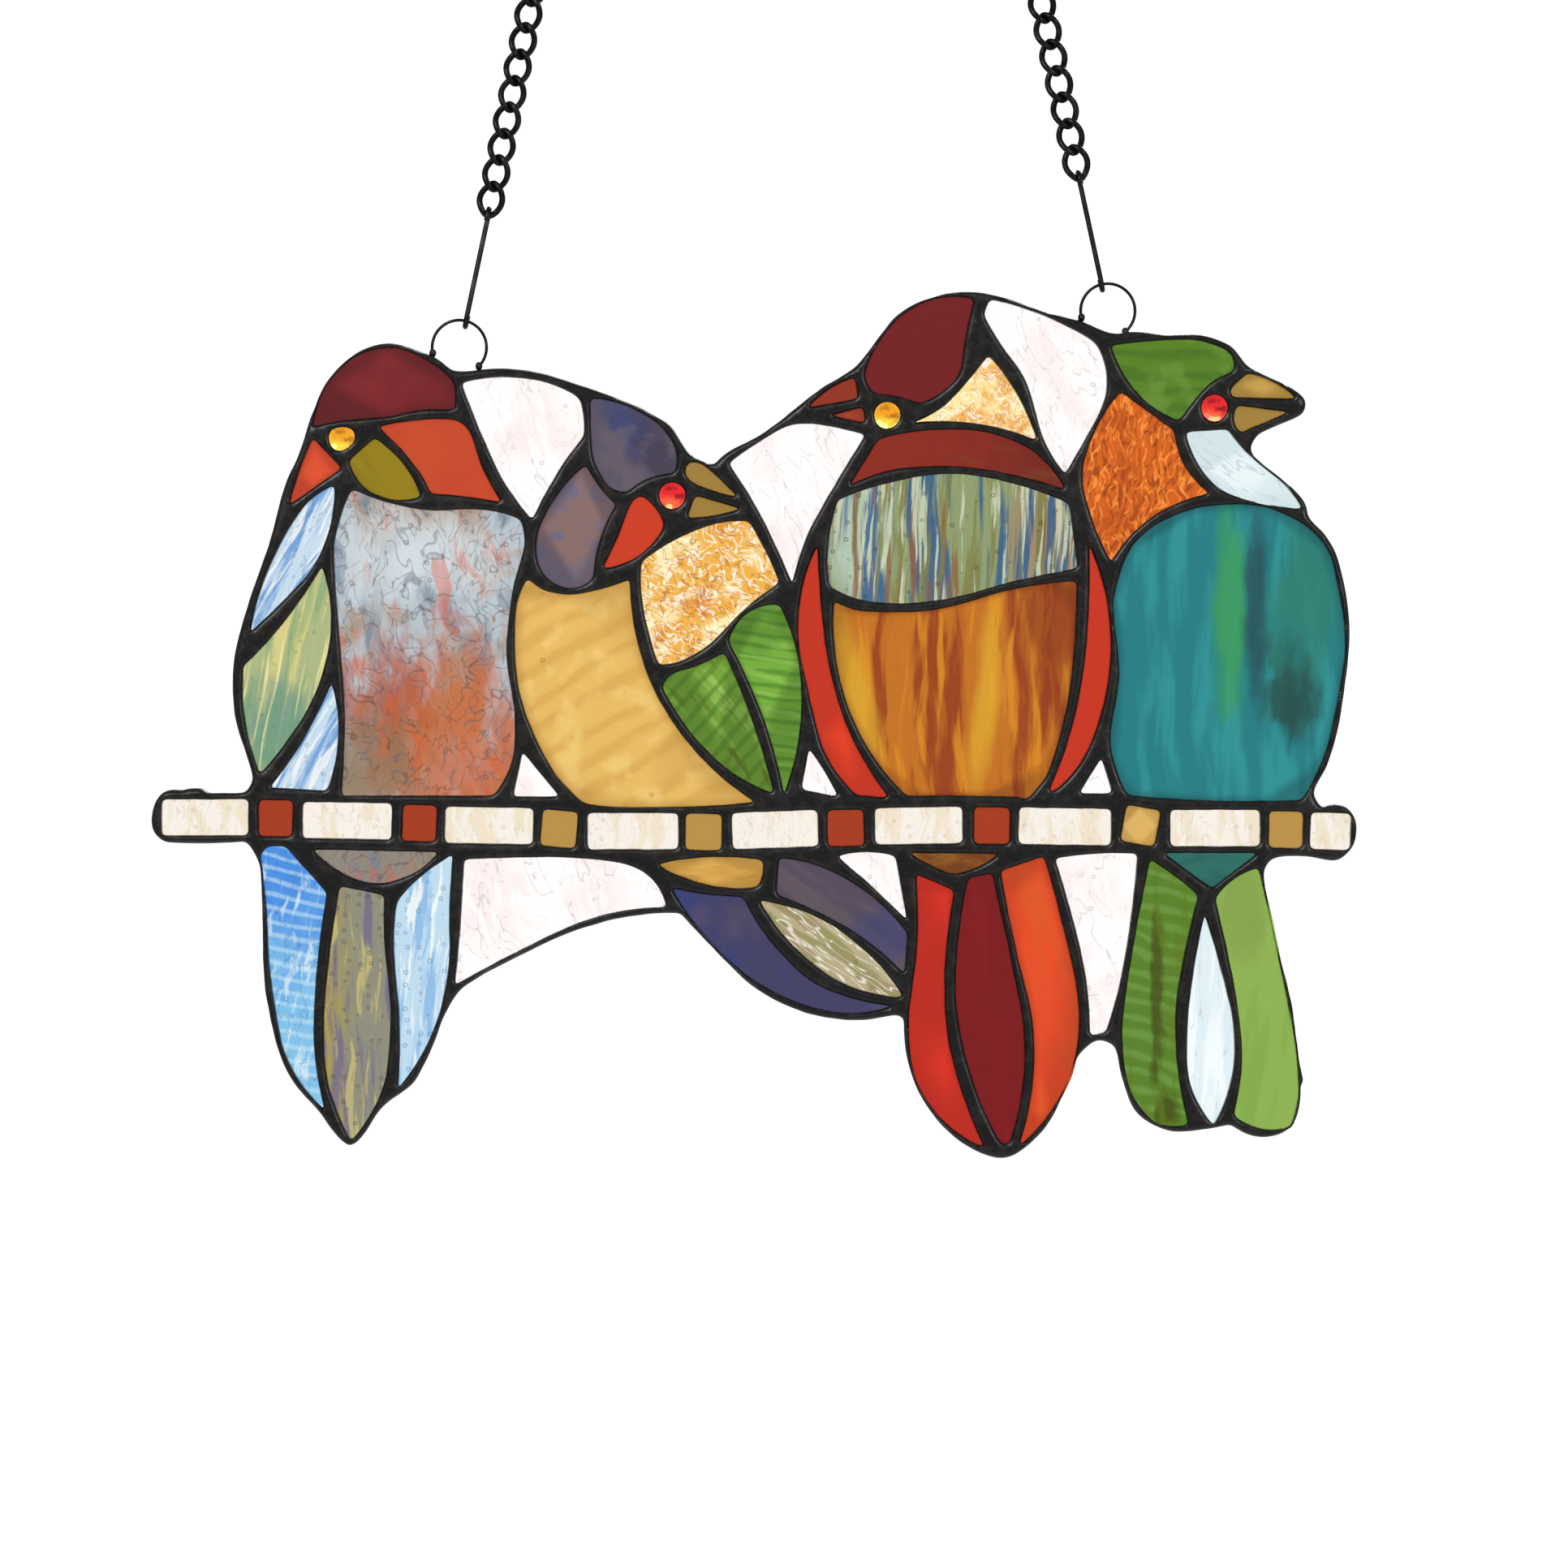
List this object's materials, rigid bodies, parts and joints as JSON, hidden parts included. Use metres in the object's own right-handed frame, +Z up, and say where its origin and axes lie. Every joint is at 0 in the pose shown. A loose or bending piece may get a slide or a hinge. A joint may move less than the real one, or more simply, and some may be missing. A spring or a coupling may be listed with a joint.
{
  "type": "stained glass suncatcher",
  "caption": "Hanging stained glass panel of birds side by side on a tiled perch, in soldered copper foil, with a wire ring, long hook and chain at each side.",
  "frame": {"origin": "underside of the left hanging hook's crown, where the rod or nail bears", "axes": "+X to the right along the perch and -Y out of the front face, as seen by a viewer in front; +Z up"},
  "size_m": [0.3014, 0.0115, 0.3207],
  "materials": {
    "amber_glass": "cathedral glass, lit from behind",
    "blood_red_glass": "cathedral glass, lit from behind",
    "clear_glass": "clear glass with faint scratches and seeds",
    "cream_glass": "cathedral glass, lit from behind",
    "dark_red_glass": "cathedral glass, lit from behind",
    "flame_red_glass": "cathedral glass, lit from behind",
    "gold_ripple_glass": "hand rolled rippled glass",
    "grey_blue_streaky_glass": "hand rolled streaky glass",
    "ice_blue_glass": "cathedral glass, lit from behind",
    "leaf_green_glass": "cathedral glass, lit from behind",
    "light_green_glass": "cathedral glass, lit from behind",
    "moss_streaky_glass": "hand rolled streaky glass",
    "olive_glass": "cathedral glass, lit from behind",
    "olive_violet_glass": "cathedral glass, lit from behind",
    "orange_glass": "cathedral glass, lit from behind",
    "orange_ripple_glass": "hand rolled rippled glass",
    "pale_blue_glass": "cathedral glass, lit from behind",
    "red_brown_glass": "cathedral glass, lit from behind",
    "reed_streaky_glass": "hand rolled streaky glass",
    "sea_blue_glass": "cathedral glass, lit from behind",
    "striped_streaky_glass": "hand rolled streaky glass",
    "tan_glass": "cathedral glass, lit from behind",
    "teal_glass": "cathedral glass, lit from behind",
    "violet_glass": "cathedral glass, lit from behind",
    "black_patina_solder": "solder beads with a black patina",
    "dark_wire": "dark plated wire, satin"
  },
  "bodies": {
    "root": {"bird_one_crown": "dark_red_glass", "bird_one_face": "orange_glass", "bird_one_throat": "olive_glass", "bird_one_cheek": "orange_glass", "bird_one_wing_upper": "pale_blue_glass", "bird_one_wing_middle": "reed_streaky_glass", "bird_one_wing_lower": "pale_blue_glass", "bird_one_body": "grey_blue_streaky_glass", "bird_one_vent": "grey_blue_streaky_glass", "bird_one_tail_left": "sea_blue_glass", "bird_one_tail_middle": "olive_violet_glass", "bird_one_tail_right": "pale_blue_glass", "bird_two_crown": "violet_glass", "bird_two_nape": "violet_glass", "bird_two_cheek": "flame_red_glass", "bird_two_chest": "gold_ripple_glass", "bird_two_body": "cream_glass", "bird_two_wing_left": "moss_streaky_glass", "bird_two_wing_right": "leaf_green_glass", "bird_two_vent": "tan_glass", "bird_two_tail_lower": "violet_glass", "bird_two_tail_middle": "reed_streaky_glass", "bird_two_tail_upper": "violet_glass", "bird_three_crown": "dark_red_glass", "bird_three_cheek": "gold_ripple_glass", "bird_three_collar": "red_brown_glass", "bird_three_chest": "striped_streaky_glass", "bird_three_belly": "amber_glass", "bird_three_wing_left": "flame_red_glass", "bird_three_wing_right": "flame_red_glass", "bird_three_vent": "amber_glass", "bird_three_tail_left": "flame_red_glass", "bird_three_tail_middle": "blood_red_glass", "bird_three_tail_right": "orange_glass", "bird_four_head": "leaf_green_glass", "bird_four_nape": "orange_ripple_glass", "bird_four_throat": "ice_blue_glass", "bird_four_body": "teal_glass", "bird_four_vent": "teal_glass", "bird_four_tail_left": "moss_streaky_glass", "bird_four_tail_middle": "ice_blue_glass", "bird_four_tail_right": "light_green_glass", "clear_between_heads_one_two": "clear_glass", "clear_between_heads_two_three": "clear_glass", "clear_between_heads_three_four": "clear_glass", "clear_triangle_one_two": "clear_glass", "clear_triangle_two_three": "clear_glass", "clear_triangle_three_four": "clear_glass", "clear_below_perch_one_two": "clear_glass", "clear_below_perch_two_three": "clear_glass", "clear_below_perch_three_four": "clear_glass", "solder_panel": "black_patina_solder", "left_ring": "dark_wire", "right_ring": "dark_wire", "left_long_hook": "dark_wire", "right_long_hook": "dark_wire", "left_top_hook": "dark_wire", "right_top_hook": "dark_wire", "left_chain": "dark_wire", "right_chain": "dark_wire"}
  },
  "joints": []
}
